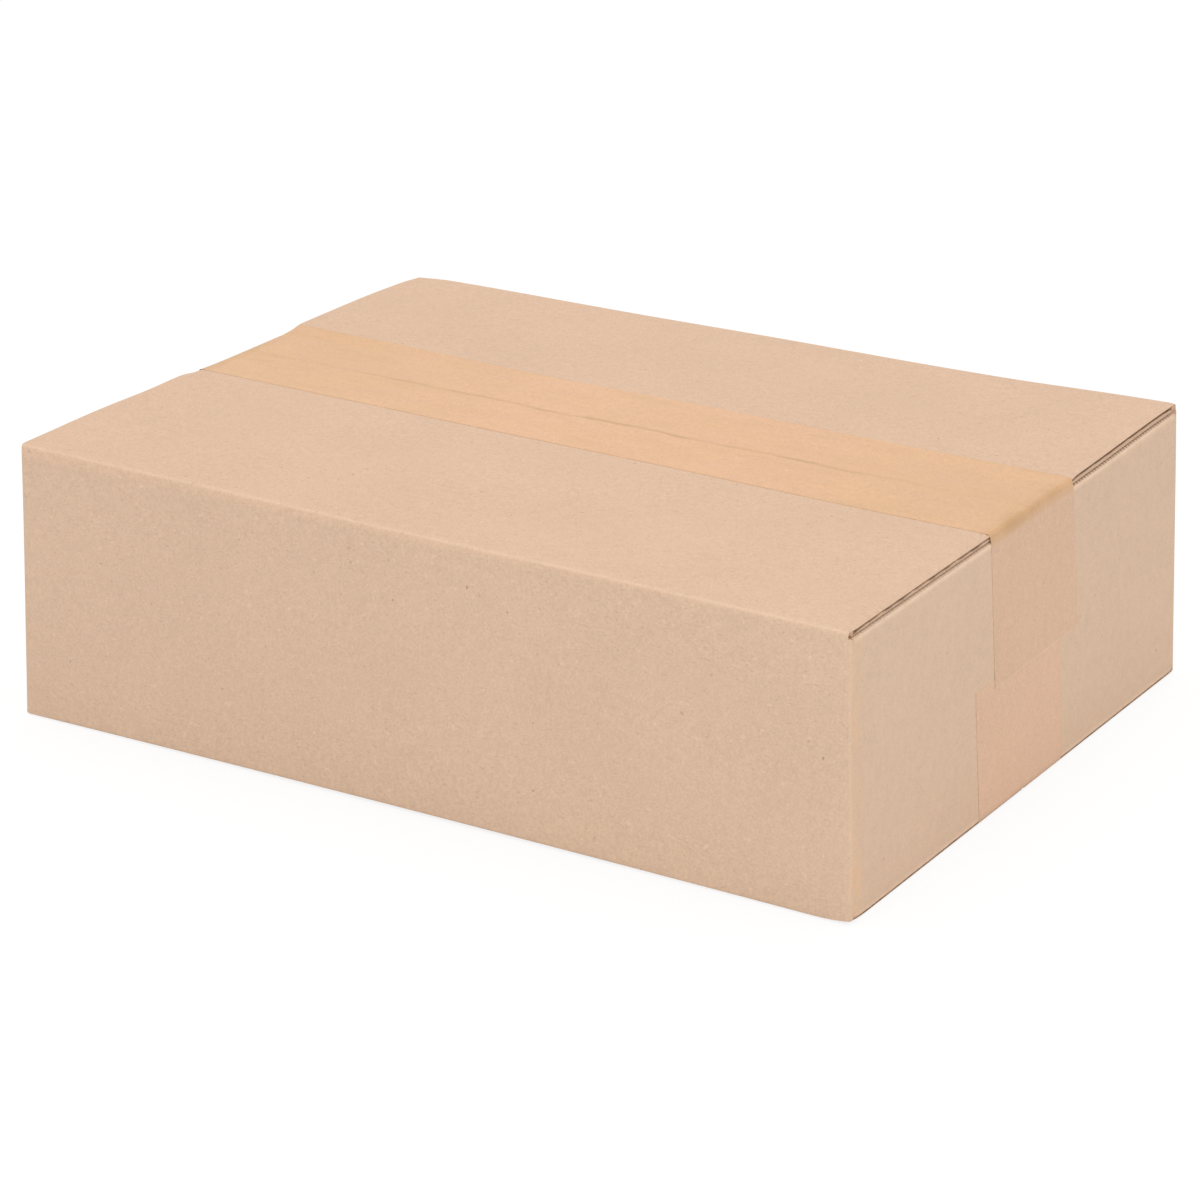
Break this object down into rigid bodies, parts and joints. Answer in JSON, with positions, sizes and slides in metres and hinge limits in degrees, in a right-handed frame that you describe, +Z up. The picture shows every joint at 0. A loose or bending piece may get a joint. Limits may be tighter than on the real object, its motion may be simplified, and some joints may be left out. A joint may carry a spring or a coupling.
{
  "type": "cardboard box",
  "caption": "Closed slotted carton of single-wall corrugated board, its long flaps meeting along the middle under strips of tan film tape.",
  "frame": {"origin": "middle of the underside, on the surface the carton stands on", "axes": "+Z up, X along the long walls with +X towards the end panel where the two tapes lap, -Y out of the front long wall"},
  "size_m": [0.2503, 0.19, 0.0762],
  "materials": {
    "kraft_board": "uncoated brown kraft liner",
    "film_tape": "thin tan packing film with a soft shine"
  },
  "bodies": {
    "root": {"carton": "kraft_board", "top_tape": "film_tape", "bottom_tape": "film_tape"}
  },
  "joints": []
}
